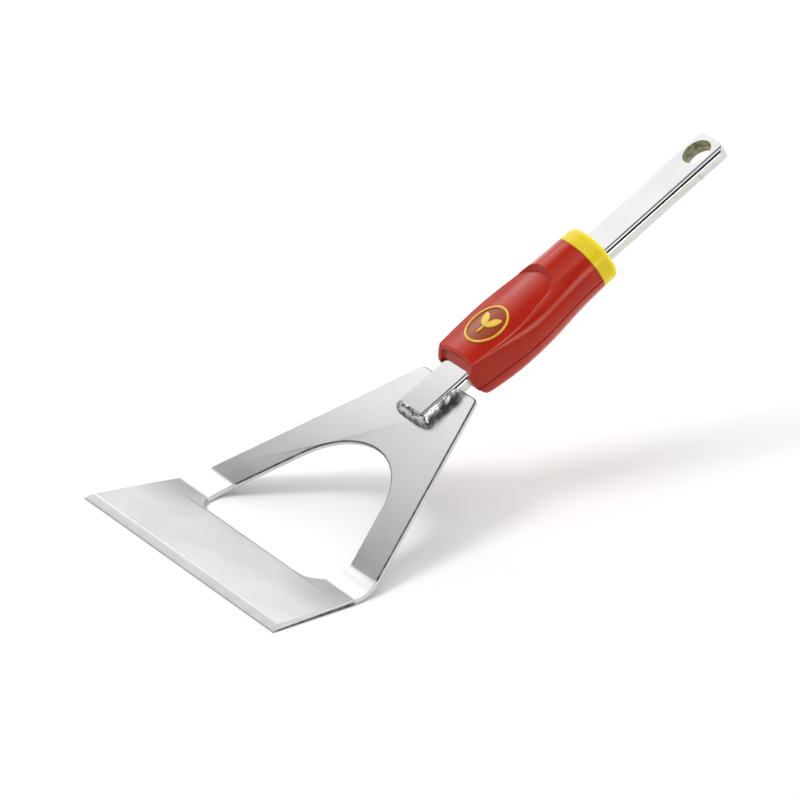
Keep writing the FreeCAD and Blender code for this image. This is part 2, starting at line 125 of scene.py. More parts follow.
# Weld beads: divisions, length and height of their rounded ends, and unevenness.
BEAD_STEP = 0.2
BEAD_COLUMNS = 26
BEAD_END = 3.0
BEAD_END_HEIGHT = 0.2
BEAD_ROOT = 0.3
BEAD_FOOT_RAGGED = 0.5
BEAD_RIPPLE = 0.010
BEAD_RIPPLE_LENGTH = 2.3
BEAD_RIPPLE_SLANT = 1.2
BEAD_LUMP = 0.17
BEAD_LUMPS_ALONG = 0.24
BEAD_LUMPS_ACROSS = 0.4

# Each bead's foot, rise and lap over the tang's edge, and where it starts and ends.
FRONT_BEAD = (2.5, 3.95, 0.7)
LEFT_BEAD = (1.9, 2.3, 0.2)
RIGHT_BEAD = (0.5, 3.95, 0.5)
UNDER_BEAD = (1.7, 1.7, 0.1)
FRONT_BEAD_PAST_LEFT = 0.9
FRONT_BEAD_PAST_RIGHT = 1.2
LEFT_BEAD_PAST_FRONT = 0.6
RIGHT_BEAD_PAST_FRONT = 1.5
SIDE_BEAD_SHORT = 0.8
UNDER_BEAD_SHORT = 2.2
UNDER_BEAD_DROP = 0.1

# Grip housing's sections: distance s, half width, height above the centre, depth below it, squareness.
HOUSING_CENTRE = 0.5
HOUSING_STATIONS = (
    (89.5, 12.4, 11.5, 8.4, 4.0),
    (92.0, 13.3, 11.9, 9.8, 3.9),
    (97.0, 14.3, 12.2, 11.0, 3.6),
    (107.0, 15.9, 12.5, 12.5, 2.9),
    (118.0, 17.0, 12.5, 13.0, 2.5),
    (132.0, 16.0, 12.4, 13.2, 2.25),
    (145.0, 14.4, 12.1, 12.3, 2.2),
    (157.3, 14.0, 12.0, 11.6, 2.2),
)
PARTING = -2.7

# The housing's pad, which ends at the rear in an arched step.
PAD_TOP = 9.8
PAD_CROWN_RADIUS = 65.0
PAD_CROWN_HALF = 25.0
PAD_END = 144.2
PAD_END_RADIUS = 14.0
PAD_ARCH_POWER = 2.2
PAD_FLARE = 0.33
PAD_DISH = 0.3
PAD_RIM = 1.4
PAD_DISH_FADE = 3.0
STEP_RISE = 6.0
STEP_RUN = 2.4
STEP_RUN_SIDE = 0.5
CREASE_ROUND = 0.4

# The housing's slanted nose, and the recess in its front face.
NOSE_TOP = 94.6
NOSE_RISE_LIMIT = 6.5
NOSE_UNDERCUT = 4.0
NOSE_UNDERCUT_SLOPE = 0.5
NOSE_ROUND = 0.8
RECESS = 1.6
RECESS_LIP = 0.8
RECESS_HALF = 10.6
RECESS_LIP_RUN = 0.5
RECESS_SIDE_RUN = 0.9
RECESS_FOOT_RUN = 1.0

# The shells' rounded edges, the seam between them and the slot round the tang.
LIP = 0.45
LIP_STEPS = 6
LIP_FADE = 8.0
REAR_LIP = 0.35
REAR_LIP_STEPS = 4
SEAM_ROUND = 0.32
SEAM_STEPS = 5
SEAM_GAP = 0.12
SEAM_COLUMNS = 3
SHELL_SLOT_GAP = 0.15

# Divisions of the shells. The rows crowd towards the front.
UPPER_GRID = (250, 236)
LOWER_GRID = (220, 150)
ROW_CROWDING = 1.15
SETTLING_ROUNDS = 5
CAP_ROWS = 17
CAP_EDGE_SHARE = 0.1
CAP_EDGE_DROP = 0.2

# Collar. The slot's rounded mouth is given as pairs of inset and depth.
COLLAR_FRONT = 157.4
COLLAR_REAR = 165.3
COLLAR_SHOULDER = 2.6
COLLAR_EDGE = 0.3
COLLAR_INNER = 1.9
COLLAR_COLUMNS = 180
COLLAR_SLOT_GAP = 0.12
COLLAR_SLOT_POWER = 9
COLLAR_SLOT_EDGE = ((-0.45, 0.0), (-0.15, 0.08), (0.0, 0.4), (0.0, COLLAR_REAR - COLLAR_FRONT))

# Badge, and how far inside its recess the field's colour starts and is full.
BADGE_S = 110.8
BADGE_RADIUS = 9.9
FIELD_START = 0.2
FIELD_FULL = 0.5

# Places of marks in the steel: a strip before the bend with a painted dark reflection, and the part of
# the tang that is darker towards the weld.
PAINTED_DARK_START = 21.0
PAINTED_DARK_FULL = 1.0
PAINTED_DARK_END = 0.4
BESIDE_WINDOW = (30.0, 56.0)
DARKER_NEAR_WELD = (68.0, 96.0)

# Angles over which an edge is shaded sharp or is bevelled, and under which two faces are one.
SHARP_SHADING = math.radians(50)
SHARP_EDGE = math.radians(32)
SAME_PLANE = math.radians(0.3)

# Camera: its direction and distance from the part, its lens, and the part's place in the picture.
CAMERA_AZIMUTH = math.radians(59.05)
CAMERA_ELEVATION = math.radians(23.21)
CAMERA_DISTANCE = 3.568
CAMERA_LENS = 405.0
CENTRE_RIGHT_OF_PICTURE = 0.0201
CENTRE_ABOVE_PICTURE = 0.0205

# Floor, and studio walls as soft glows: direction, cosines where it starts and is full, strength.
FLOOR_REACH = 12.0
FLOOR_LEVEL = -0.00002
FLOOR_GREY = 0.88
WALLS = (
    ((-0.80, 0.56, 0.22), 0.80, 0.97, 0.45),
    ((-0.60, -0.74, 0.30), 0.70, 1.0, 0.18),
    ((0.50, 0.80, 0.30), 0.60, 0.95, 0.20),
    ((0.0, 0.0, -1.0), -1.0, 0.6, 0.12),
)

# Softboxes: name, centre, point aimed at, width and height in metres, radiance, and what they light.
# The last is a pair: whether reflections show the box, and whether it lights surfaces.
EVERYTHING = (True, True)
REFLECTIONS = (True, False)
SURFACES = (False, True)
SOFTBOXES = (
    ("panel_bend", (-2.0, 0.85, 1.2), (-2.0, 0.85, 0.0), (1.70, 0.80), 1.90, EVERYTHING),
    ("panel_arms", (-1.75, 0.11, 1.2), (-1.75, 0.11, 0.0), (1.20, 0.68), 1.54, EVERYTHING),
    ("card_pad", (-1.90, 0.03, 1.19), (-1.90, 0.03, 0.0), (0.5, 0.26), 2.7, REFLECTIONS),
    ("wall_left", (-3.0, -0.1, 0.6), (0.0, -0.1, 0.6), (2.4, 1.1), 1.15, EVERYTHING),
    ("panel_top", (0.35, -0.35, 1.2), (0.0, 0.1, 0.0), (0.55, 0.7), 1.3, REFLECTIONS),
    ("card_right", (1.6, 0.15, 0.50), (0.0, 0.1, 0.05), (1.4, 0.4), 5.0, REFLECTIONS),
    ("card_front", (0.2, -3.2, 1.3), (0.2, 0.0, 1.3), (5.5, 2.5), 0.95, REFLECTIONS),
    ("card_back", (0.9, 3.6, 1.85), (0.9, 0.0, 1.85), (6.5, 3.6), 0.95, REFLECTIONS),
    ("card_above", (1.4, 0.6, 2.3), (1.4, 0.6, 0.0), (1.6, 1.2), 0.95, REFLECTIONS),
    ("card_overhead", (0.0, 0.0, 2.3), (0.0, 0.0, 0.0), (2.4, 1.8), 0.5, REFLECTIONS),
    ("key", (-0.13, -0.75, 1.35), (0.0, 0.1, 0.0), (0.6, 0.6), 8.0, SURFACES),
    ("fill", (0.0, 0.6, 2.4), (0.0, 0.1, 0.0), (4.0, 4.0), 1.27, SURFACES),
    ("fill_back", (0.3, 2.6, 0.9), (0.0, 0.2, 0.0), (3.0, 2.0), 2.4, SURFACES),
)

# The slope frame's place on the part, from the tang's and the lock hole's mounts.
ALONG = Vector(MOUNTS["tang"]["axis"])
UP = Vector(MOUNTS["lock_hole"]["axis"])
TANG_MIDDLE = (TANG_TOP + TANG_BOTTOM) / 2.0
SLOPE_ORIGIN = Vector(MOUNTS["tang"]["pos_m"]) - MM * (TANG_END * ALONG + TANG_MIDDLE * UP)
SLOPE = math.atan2(ALONG.z, ALONG.y)
EDGE_Y = cad_bounds[0].y / MM
BEND_LENGTH = BEND_RADIUS * SLOPE
EDGE_TAPER = (EDGE_HALF - FLAT_REAR_HALF) / FLAT_DEPTH
ARM_HALF = FLAT_REAR_HALF - (EDGE_TAPER + ARM_TAPER) / 2.0 * BEND_LENGTH


# ---------------------------------------------------------------- geometry helpers

def on_slope(points):
    """Points on the part, in metres, of an array of slope-frame points (x, s, n) in millimetres."""
    points = np.asarray(points, float)
    along = np.array(ALONG)
    up = np.array(UP)
    placed = np.array(SLOPE_ORIGIN) + MM * (points[..., 1:2] * along + points[..., 2:3] * up)
    placed[..., 0] = MM * points[..., 0]
    return placed


def piece(name, vertices, faces, slot, *nodes):
    """Mesh object that rides on the root body and stands for the given CAD nodes."""
    mesh = bpy.data.meshes.new(name)
    mesh.from_pydata([tuple(v) for v in np.asarray(vertices).reshape(-1, 3)], [], faces)
    work = bmesh.new()
    work.from_mesh(mesh)
    bmesh.ops.recalc_face_normals(work, faces=work.faces)
    work.to_mesh(mesh)
    work.free()
    mesh.shade_smooth()
    mesh.set_sharp_from_angle(angle=SHARP_SHADING)
    made = bpy.data.objects.new(name, mesh)
    return settle(made, slot, *nodes)


def settle(made, slot, *nodes):
    """Links a piece, puts it on the root body and hides any CAD nodes that it stands for."""
    if not made.users_collection:
        bpy.context.scene.collection.objects.link(made)
    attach(made, "root")
    if nodes:
        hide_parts(*nodes)
    return made


def weigh_normals(made):
    """Makes the rounded edges shade smoothly into the flat faces beside them."""
    weigh = made.modifiers.new("weighted", "WEIGHTED_NORMAL")
    weigh.weight = 100
    weigh.thresh = 0.005


def grid_faces(rows, columns, close_rows=False, close_columns=False):
    """Quads of a grid of rows by columns, wrapping round where asked."""
    faces = []
    for i in range(rows if close_rows else rows - 1):
        for j in range(columns if close_columns else columns - 1):
            a = i * columns + j
            b = i * columns + (j + 1) % columns
            c = ((i + 1) % rows) * columns + (j + 1) % columns
            d = ((i + 1) % rows) * columns + j
            faces.append((a, b, c, d))
    return faces


def smooth_min(a, b, radius):
    """Lower of two heights, with the corner between them rounded over the given radius."""
    mix = np.clip(0.5 + 0.5 * (b - a) / radius, 0.0, 1.0)
    return b * (1.0 - mix) + a * mix - radius * mix * (1.0 - mix)


def smooth_step(t):
    """Smooth rise from 0 to 1."""
    t = np.clip(t, 0.0, 1.0)
    return t * t * (3.0 - 2.0 * t)


def superellipse(across, upward, half, height, power):
    """Distance to a squared-off ellipse in the direction (across, upward)."""
    return (np.abs(across / half) ** power + np.abs(upward / height) ** power) ** (-1.0 / power)


def spline_through(stations, at):
    """Natural cubic spline through the stations' rows, read at the values in at."""
    table = np.array(stations, float)
    x = table[:, 0]
    y = table[:, 1:]
    h = np.diff(x)
    count = len(x)
    system = np.eye(count)
    right = np.zeros_like(y)
    for i in range(1, count - 1):
        system[i, i - 1:i + 2] = (h[i - 1], 2.0 * (h[i - 1] + h[i]), h[i])
        right[i] = 6.0 * ((y[i + 1] - y[i]) / h[i] - (y[i] - y[i - 1]) / h[i - 1])
    bend = np.linalg.solve(system, right)
    at = np.clip(np.asarray(at, float), x[0], x[-1])
    k = np.clip(np.searchsorted(x, at) - 1, 0, count - 2)
    left = (x[k + 1] - at)[..., None]
    past = (at - x[k])[..., None]
    step = h[k][..., None]
    return ((bend[k] * left ** 3 + bend[k + 1] * past ** 3) / (6.0 * step)
            + (y[k] / step - bend[k] * step / 6.0) * left
            + (y[k + 1] / step - bend[k + 1] * step / 6.0) * past)


# ---------------------------------------------------------------- blade plate

def arc_points(centre, radius, start, end, count):
    """Points along an arc, from angle start to angle end in radians."""
    angles = np.linspace(start, end, count)
    return [(centre[0] + radius * math.cos(a), centre[1] + radius * math.sin(a)) for a in angles]


def outer_half(u):
    """Half width of the sheet at u past the cutting edge, in the unrolled sheet."""
    into_bend = u - FLAT_DEPTH
    if into_bend < 0:
        return EDGE_HALF - EDGE_TAPER * u
    if into_bend < BEND_LENGTH:
        curve = (ARM_TAPER - EDGE_TAPER) * into_bend ** 2 / (2.0 * BEND_LENGTH)
        return FLAT_REAR_HALF - EDGE_TAPER * into_bend - curve
    return ARM_HALF - ARM_TAPER * (into_bend - BEND_LENGTH)


def cutting_edge(dice):
    """Cutting edge from left to right, slightly uneven and with a few small nicks."""
    points = []
    x = -EDGE_HALF
    while x < EDGE_HALF - EDGE_STOP_SHORT:
        points.append((x, 0.0))
        x += dice.uniform(*EDGE_STEP)
        if dice.random() < NICK_CHANCE and x < EDGE_HALF - NICK_STOP_SHORT:
            width = dice.uniform(*NICK_WIDTH)
            points.append((x, 0.0))
            points.append((x + NICK_LOWEST * width, dice.uniform(*NICK_DEPTH)))
            points.append((x + width, 0.0))
            x += width + NICK_GAP
    points.append((EDGE_HALF, 0.0))
    for i in range(1, len(points) - 1):
        x, depth = points[i]
        if depth == 0.0:
            points[i] = (x, abs(dice.gauss(0.0, EDGE_UNEVEN)))
    return points


def plate_outline(dice):
    """Outer edge of the unrolled sheet, counter-clockwise from the left end of the cutting edge."""
    right = [(outer_half(u), u) for u in np.linspace(0.0, FLAT_DEPTH + BEND_LENGTH, 30)[1:]]
    neck_u = FLAT_DEPTH + BEND_LENGTH + ARM_LENGTH
    neck_half = ARM_HALF - ARM_TAPER * ARM_LENGTH
    lean = math.atan(ARM_TAPER)
    turn = math.pi / 2.0 - lean
    reach = NECK_CORNER * math.tan(turn / 2.0)
    centre = (neck_half - reach, neck_u - NECK_CORNER)
    corner = arc_points(centre, NECK_CORNER, lean, math.pi / 2.0, 10)
    left = [(-x, u) for x, u in reversed(right + corner)]
    return cutting_edge(dice) + right + corner + left


def window_outline():
    """Edge of the window in the unrolled sheet."""
    lean = math.atan(ARM_TAPER)
    bend_end = FLAT_DEPTH + BEND_LENGTH
    front_half = WINDOW_HALF_AT_BEND + ARM_TAPER * (bend_end - WINDOW_FRONT)
    top_half = WINDOW_HALF_AT_BEND - ARM_TAPER * WINDOW_TOP
    front_reach = WINDOW_CORNER / math.tan((math.pi / 2.0 - lean) / 2.0)
    front_centre = (front_half - front_reach, WINDOW_FRONT + WINDOW_CORNER)
    top_radius = top_half / math.tan((math.pi / 2.0 - lean) / 2.0)
    top_centre = (0.0, bend_end + WINDOW_TOP - top_radius)
    front = arc_points(front_centre, WINDOW_CORNER, -math.pi / 2.0, lean, 20)
    top = arc_points(top_centre, top_radius, lean, math.pi / 2.0, 36)
    right = front + top
    return right + [(-x, u) for x, u in reversed(right[:-1])]


def flat_sheet(name, outlines, thickness, edge_radius):
    """Bmesh of a flat sheet from z = 0 to thickness, with softened edges."""
    curve = bpy.data.curves.new(name, "CURVE")
    curve.dimensions = "2D"
    curve.fill_mode = "BOTH"
    curve.extrude = thickness / 2.0 - edge_radius
    curve.bevel_depth = edge_radius
    curve.bevel_resolution = 2
    curve.offset = -edge_radius
    for outline in outlines:
        line = curve.splines.new("POLY")
        line.points.add(len(outline) - 1)
        for point, (x, y) in zip(line.points, outline):
            point.co = (x, y, 0.0, 1.0)
        line.use_cyclic_u = True
    holder = bpy.data.objects.new(name, curve)
    bpy.context.scene.collection.objects.link(holder)
    mesh = bpy.data.meshes.new_from_object(holder)
    bpy.data.objects.remove(holder)
    sheet = bmesh.new()
    sheet.from_mesh(mesh)
    bpy.data.meshes.remove(mesh)
    bmesh.ops.remove_doubles(sheet, verts=sheet.verts, dist=1e-4)
    bmesh.ops.translate(sheet, verts=sheet.verts, vec=(0, 0, thickness / 2.0))
    return sheet


def cut_along(sheet, point, normal):
    """Adds vertices where a plane crosses the sheet."""
    everything = sheet.verts[:] + sheet.edges[:] + sheet.faces[:]
    bmesh.ops.bisect_plane(sheet, geom=everything, plane_co=point, plane_no=normal, dist=1e-5)


def ground_thickness(x, u):
    """Thickness left at a place on the sheet, by the ground cutting edge and the relieved sides."""
    left = SHEET
    if u < BEVEL_DEPTH:
        left = BEVEL_LAND + (SHEET - BEVEL_LAND) * max(u, 0.0) / BEVEL_DEPTH
    if u < FLAT_DEPTH:
        width = SIDE_BEVEL_WIDTH * (1.0 - u / FLAT_DEPTH)
        inset = outer_half(u) - abs(x)
        if inset < width:
            share = max(inset, 0.0) / max(width, 1e-6)
            fade = 1.0 - u / FLAT_DEPTH
            left = min(left, SHEET - (SHEET - SIDE_BEVEL_LAND) * fade * (1.0 - share))
    return left


def rolled(x, u, z):
    """Place of a point of the unrolled sheet on the bent blade, in the part's own millimetres."""
    into_bend = u - FLAT_DEPTH
    if into_bend < 0:
        return (x, EDGE_Y + u, z)
    angle = min(into_bend, BEND_LENGTH) / BEND_RADIUS
    radius = BEND_RADIUS + SHEET - z
    past = max(into_bend - BEND_LENGTH, 0.0)
    return (x,
            EDGE_Y + FLAT_DEPTH + radius * math.sin(angle) + past * math.cos(angle),
            SHEET + BEND_RADIUS - radius * math.cos(angle) + past * math.sin(angle))


def rim_look(u, inset, top_rim):
    """Which material an edge face has, at u and at an inset from the sheet's side."""
    if u < FLAT_DEPTH - BEND_MARGIN:
        if min(inset, u) > 1.5 * SHEARED_EDGE:
            return PLATED
        return GROUND if top_rim else SHEARED_SHADED
    if not top_rim:
        return PLATED
    in_bend = u < FLAT_DEPTH + BEND_LENGTH + BEND_MARGIN
    return GROUND if in_bend else SHEARED_SHADED


def sheet_look(face):
    """Which of the blade's materials a face of the unrolled sheet has: plated, sheared with painted
    shade, or ground.
    """
    x, u, z = face.calc_center_median()
    inset = outer_half(u) - abs(x)
    if abs(face.normal.z) < LEVEL_FACE:
        return rim_look(u, inset, z > SHEET - SHEARED_EDGE)
    relieved = u < FLAT_DEPTH and inset < SIDE_BEVEL_WIDTH * (1.0 - u / FLAT_DEPTH)
    if z > SHEET / 2.0 and (u < BEVEL_DEPTH or relieved):
        return GROUND
    return PLATED


def divide_sheet(sheet):
    """Adds vertices along the bevels, across the flat and round the bend."""
    cut_along(sheet, (0, BEVEL_DEPTH, 0), (0, 1, 0))
    for side in (-1, 1):
        start = Vector((side * (EDGE_HALF - SIDE_BEVEL_WIDTH), 0, 0))
        end = Vector((side * FLAT_REAR_HALF, FLAT_DEPTH, 0))
        run = end - start
        cut_along(sheet, start, (run.y, -run.x, 0))
    for u in np.linspace(0.0, FLAT_DEPTH, FLAT_CUTS)[1:-1]:
        cut_along(sheet, (0, u, 0), (0, 1, 0))
    for u in np.linspace(0.0, BEND_LENGTH, BEND_CUTS):
        cut_along(sheet, (0, FLAT_DEPTH + u, 0), (0, 1, 0))
    sheet.normal_update()


def build_blade():
    """Blade plate with a ground edge, softened sheared edges and a smoothly rolled bend."""
    dice = random.Random(EDGE_SEED)
    sheet = flat_sheet("blade", [plate_outline(dice), window_outline()], SHEET, SHEARED_EDGE)
    divide_sheet(sheet)
    for face in sheet.faces:
        face.material_index = sheet_look(face)
    for vertex in sheet.verts:
        x, u, z = vertex.co
        height = z * ground_thickness(x, u) / SHEET
        vertex.co = Vector(rolled(x, u, height)) * MM
    mesh = bpy.data.meshes.new("blade")
    sheet.to_mesh(mesh)
    sheet.free()
    mesh.shade_smooth()
    blade = bpy.data.objects.new("blade", mesh)
    settle(blade, "plated_sheet", "blade_plate")
    weigh_normals(blade)
    return blade


# ---------------------------------------------------------------- pieces refined from the CAD meshes

def tang_look(face):
    """Which of the tang's materials a face has: plated top, hole wall darkened with painted shade, or
    flank toned as a painted reflection.
    """
    from_origin = face.calc_center_median() - SLOPE_ORIGIN
    s = from_origin.dot(ALONG) / MM
    x = from_origin.x / MM
    from_hole = math.hypot(x, s - TANG_END + LOCK_HOLE_FROM_END)
    beside_hole = from_hole < LOCK_HOLE_RADIUS + HOLE_MARGIN
    if beside_hole and abs(face.normal.dot(UP)) < HOLE_WALL_FACING:
        return SHADED_HOLE_WALL
    if abs(face.normal.x) > FLANK_FACING:
        return FLANK_REFLECTION_TONE
    return PLATED


def refined(name, node, slot, edge_width, segments=2, look=None):
    """Copy of a CAD node with its sharp edges rounded over and its flat faces joined up."""
    work = bmesh.new()
    work.from_mesh(frame["nodes"][node].data)
    bmesh.ops.remove_doubles(work, verts=work.verts, dist=2e-6)
    bmesh.ops.dissolve_limit(work, angle_limit=SAME_PLANE, verts=work.verts, edges=work.edges)
    sharp = [edge for edge in work.edges if edge.is_manifold and edge.calc_face_angle() > SHARP_EDGE]
    bmesh.ops.bevel(work, geom=sharp, offset=edge_width * MM, segments=segments, profile=0.5,
                    affect="EDGES", clamp_overlap=True)
    work.normal_update()
    for face in work.faces:
        face.material_index = look(face) if look else 0
    mesh = bpy.data.meshes.new(name)
    work.to_mesh(mesh)
    work.free()
    mesh.shade_smooth()
    made = bpy.data.objects.new(name, mesh)
    settle(made, slot, node)
    weigh_normals(made)
    return made


# ---------------------------------------------------------------- weld beads

def bead_noise(along, across, seed):
    """Uneven surface of a weld bead: broad lumps with shallow ripples over them."""
    ripple = math.sin(2.0 * math.pi * along / BEAD_RIPPLE_LENGTH + BEAD_RIPPLE_SLANT * across)
    place = Vector((along * BEAD_LUMPS_ALONG, across * BEAD_LUMPS_ACROSS, seed))
    lump = noise.fractal(place, 0.9, 2.0, 2)
    return BEAD_RIPPLE * ripple + BEAD_LUMP * lump


def bead_end(at, length):
    """Share of the bead's full size at a distance along it: rounded off over its last stretch."""
    from_end = min(at, length - at) / BEAD_END
    return math.sqrt(max(0.0, 1.0 - (1.0 - min(from_end, 1.0)) ** 2))


def weld_bead(name, node, start, end, across, up, size, seed):
    """Lumpy weld over an edge: size gives its foot, its rise and how far it laps over the edge."""
    start = np.array(start, float)
    run = np.array(end, float) - start
    length = np.linalg.norm(run)
    run = run / length
    across = np.array(across, float)
    up = np.array(up, float)
    foot, rise, lap = size
    rows = int(length / BEAD_STEP)
    points = np.zeros((rows, BEAD_COLUMNS, 3))
    for i in range(rows):
        at = length * i / (rows - 1)
        fullness = bead_end(at, length)
        height = rise * (BEAD_END_HEIGHT + (1.0 - BEAD_END_HEIGHT) * fullness)
        for j in range(BEAD_COLUMNS):
            share = j / (BEAD_COLUMNS - 1)
            angle = share * math.pi / 2.0
            belly = math.sin(2.0 * angle)
            ragged = BEAD_FOOT_RAGGED * (1.0 - share) + belly
            swell = 1.0 + bead_noise(at, share * 2.0, seed) * ragged
            out = (foot + lap) * fullness * math.cos(angle) * swell - lap
            lift = height * math.sin(angle) * min(swell, 1.0 + 0.5 * belly)
            points[i, j] = start + run * at + across * out + up * lift
    inside = points[:, :1].copy()
    for i in range(rows):
        inside[i, 0] = start + run * (length * i / (rows - 1)) - across * lap - BEAD_ROOT * up
    loop = np.concatenate([points, inside], axis=1)
    count = BEAD_COLUMNS + 1
    faces = grid_faces(rows, count, close_columns=True)
    faces.append(tuple(range(count)))
    faces.append(tuple(range((rows - 1) * count, rows * count)))
    return piece(name, on_slope(loop), faces, "weld_metal", node)


def build_welds():
    """Beads round the tang's front end on the neck, and one under its step."""
    half = TANG_WIDTH / 2.0
    rear = ARM_LENGTH - SIDE_BEAD_SHORT
    front_left = (-half - FRONT_BEAD_PAST_LEFT, TANG_FRONT, 0)
    front_right = (half + FRONT_BEAD_PAST_RIGHT, TANG_FRONT, 0)
    left_front = (-half, TANG_FRONT - LEFT_BEAD_PAST_FRONT, 0)
    right_front = (half, TANG_FRONT - RIGHT_BEAD_PAST_FRONT, 0)
    under_half = half - UNDER_BEAD_SHORT
    under_n = TANG_BOTTOM - UNDER_BEAD_DROP
    under_left = (-under_half, ARM_LENGTH, under_n)
    under_right = (under_half, ARM_LENGTH, under_n)
    right = (1, 0, 0)
    left = (-1, 0, 0)
    forward = (0, -1, 0)
    back = (0, 1, 0)
    up = (0, 0, 1)
    down = (0, 0, -1)
    return [
        weld_bead("bead_front", "weld_front", front_left, front_right, forward, up, FRONT_BEAD, 3.0),
        weld_bead("bead_left", "weld_left", left_front, (-half, rear, 0), left, up, LEFT_BEAD, 11.0),
        weld_bead("bead_right", "weld_right", right_front, (half, rear, 0), right, up, RIGHT_BEAD, 23.0),
        weld_bead("bead_under", "weld_under", under_left, under_right, back, down, UNDER_BEAD, 31.0),
    ]


# ---------------------------------------------------------------- grip housing

def front_s(n):
    """Where the housing's front face stands at height n: slanted above and below the tang."""
    foremost = HOUSING_STATIONS[0][0]
    above = (n - TANG_TOP) * (NOSE_TOP - foremost) / (PAD_TOP - TANG_TOP)
    below = (TANG_BOTTOM - n) * NOSE_UNDERCUT_SLOPE
    rise = smooth_min(-above, np.zeros_like(above), NOSE_ROUND)
    fall = smooth_min(-below, np.zeros_like(below), NOSE_ROUND)
    return foremost - np.maximum(rise, -NOSE_RISE_LIMIT) - np.maximum(fall, -NOSE_UNDERCUT)


def pad_height(x, s, skin):
    """Height limit set by the dished pad, rising as a rounded step past the pad's arched end."""
    near = np.clip(x, -PAD_CROWN_HALF, PAD_CROWN_HALF)
    crown = PAD_TOP - PAD_CROWN_RADIUS + np.sqrt(PAD_CROWN_RADIUS ** 2 - near ** 2)
    arch_start = PAD_END - PAD_END_RADIUS
    across = np.abs(x) / PAD_END_RADIUS
    past = np.maximum(s - arch_start, 0.0) / PAD_END_RADIUS
    from_arch = (across ** PAD_ARCH_POWER + past ** PAD_ARCH_POWER) ** (1.0 / PAD_ARCH_POWER)
    flare = PAD_FLARE * np.maximum(arch_start - s, 0.0)
    beyond = PAD_END_RADIUS * (from_arch - 1.0) - flare
    run = STEP_RUN_SIDE + (STEP_RUN - STEP_RUN_SIDE) * past ** 2 / (past ** 2 + across ** 2 + 1e-6)
    dish = PAD_DISH * smooth_step((skin - crown) / PAD_RIM) * smooth_step(-beyond / PAD_DISH_FADE)
    return crown - dish + STEP_RISE * smooth_step((beyond + run) / run)


def housing_section(s, angle):
    """Surface point (x, n) of the housing at s, in the direction angle from its centre."""
    sizes = spline_through(HOUSING_STATIONS, s)
    half, above, below, power = (sizes[..., k] for k in range(4))
    across = np.cos(angle)
    upward = np.sin(angle)
    height = np.where(upward > 0, above, below)
    reach = superellipse(across, upward, half, height, power)
    x = reach * across
    n = HOUSING_CENTRE + reach * upward
    return x, smooth_min(n, pad_height(x, s, n), CREASE_ROUND)


def seam_angle(s):
    """Direction from the housing's centre to the parting line on the right-hand side."""
    sizes = spline_through(HOUSING_STATIONS, s)
    half = sizes[..., 0]
    below = sizes[..., 2]
    power = sizes[..., 3]
    drop = HOUSING_CENTRE - PARTING
    x = half * (1.0 - (drop / below) ** power) ** (1.0 / power)
    return np.arctan2(-drop, x)


def shell_outside(upper, rows, columns):
    """Outer surface of one shell as a rows by columns grid of (x, s, n)."""
    foremost = HOUSING_STATIONS[0][0]
    rear = HOUSING_STATIONS[-1][0]
    share = np.linspace(0.0, 1.0, rows)[:, None] ** ROW_CROWDING
    t = np.linspace(0.0, 1.0, columns)[None, :]
    s = np.full((rows, columns), foremost) + share * (rear - foremost)
    for _ in range(SETTLING_ROUNDS):
        right = seam_angle(s)
        if upper:
            angle = right + t * (math.pi - 2.0 * right)
        else:
            angle = right - t * (math.pi + 2.0 * right)
        x, n = housing_section(s, angle)
        front = front_s(n)
        s = front + share * (rear - front)
    return np.stack([x, s, n], axis=-1)


def with_rounded_seams(grid, upper):
    """Adds columns at both side edges that roll in to a flat parting face."""
    turn = 1.0 if upper else -1.0
    left_x = grid[:, -1:, 0]
    right_x = grid[:, :1, 0]
    sides = []
    for edge_x, sign in ((right_x, 1.0), (left_x, -1.0)):
        lips = []
        for a in np.linspace(0.0, math.pi / 2.0, SEAM_STEPS):
            lip = np.zeros((len(grid), 1, 3))
            lip[..., 0] = edge_x - sign * SEAM_ROUND * (1.0 - math.sin(a))
            lip[..., 1] = grid[:, :1, 1]
            lip[..., 2] = PARTING + turn * (SEAM_GAP + SEAM_ROUND * (1.0 - math.cos(a)))
            lips.append(lip)
        sides.append(np.concatenate(lips, axis=1))
    body = grid[:, SEAM_COLUMNS:-SEAM_COLUMNS]
    return np.concatenate([sides[0], body, sides[1][:, ::-1]], axis=1)


def drawn_in(row, amount):
    """Skin points moved by the amount towards the housing's centre line."""
    outward = row - np.array([0.0, 0.0, HOUSING_CENTRE])
    outward[:, 1] = 0.0
    outward = outward / np.linalg.norm(outward, axis=1, keepdims=True)
    return row - outward * amount


def with_lips(grid):
    """Adds rows at the front and rear that round the end edges over."""
    front = []
    for a in np.linspace(0.0, math.pi / 2.0, LIP_STEPS)[:-1]:
        row = drawn_in(grid[0], LIP * (1.0 - math.sin(a)))
        row[:, 1] = grid[0][:, 1] + LIP * (1.0 - math.cos(a))
        front.append(row)
    rear = []
    for a in np.linspace(0.0, math.pi / 2.0, REAR_LIP_STEPS)[1:]:
        row = drawn_in(grid[-1], REAR_LIP * (1.0 - math.cos(a)))
        row[:, 1] = grid[-1][:, 1] + REAR_LIP * (math.sin(a) - 1.0)
        rear.append(row)
    shifted = grid.copy()
    from_front = grid[:, :, 1] - grid[:1, :, 1]
    shifted[:, :, 1] += LIP * np.clip(1.0 - from_front / LIP_FADE, 0.0, 1.0)
    shifted[-1, :, 1] -= REAR_LIP
    return np.concatenate([np.array(front), shifted, np.array(rear)], axis=0)


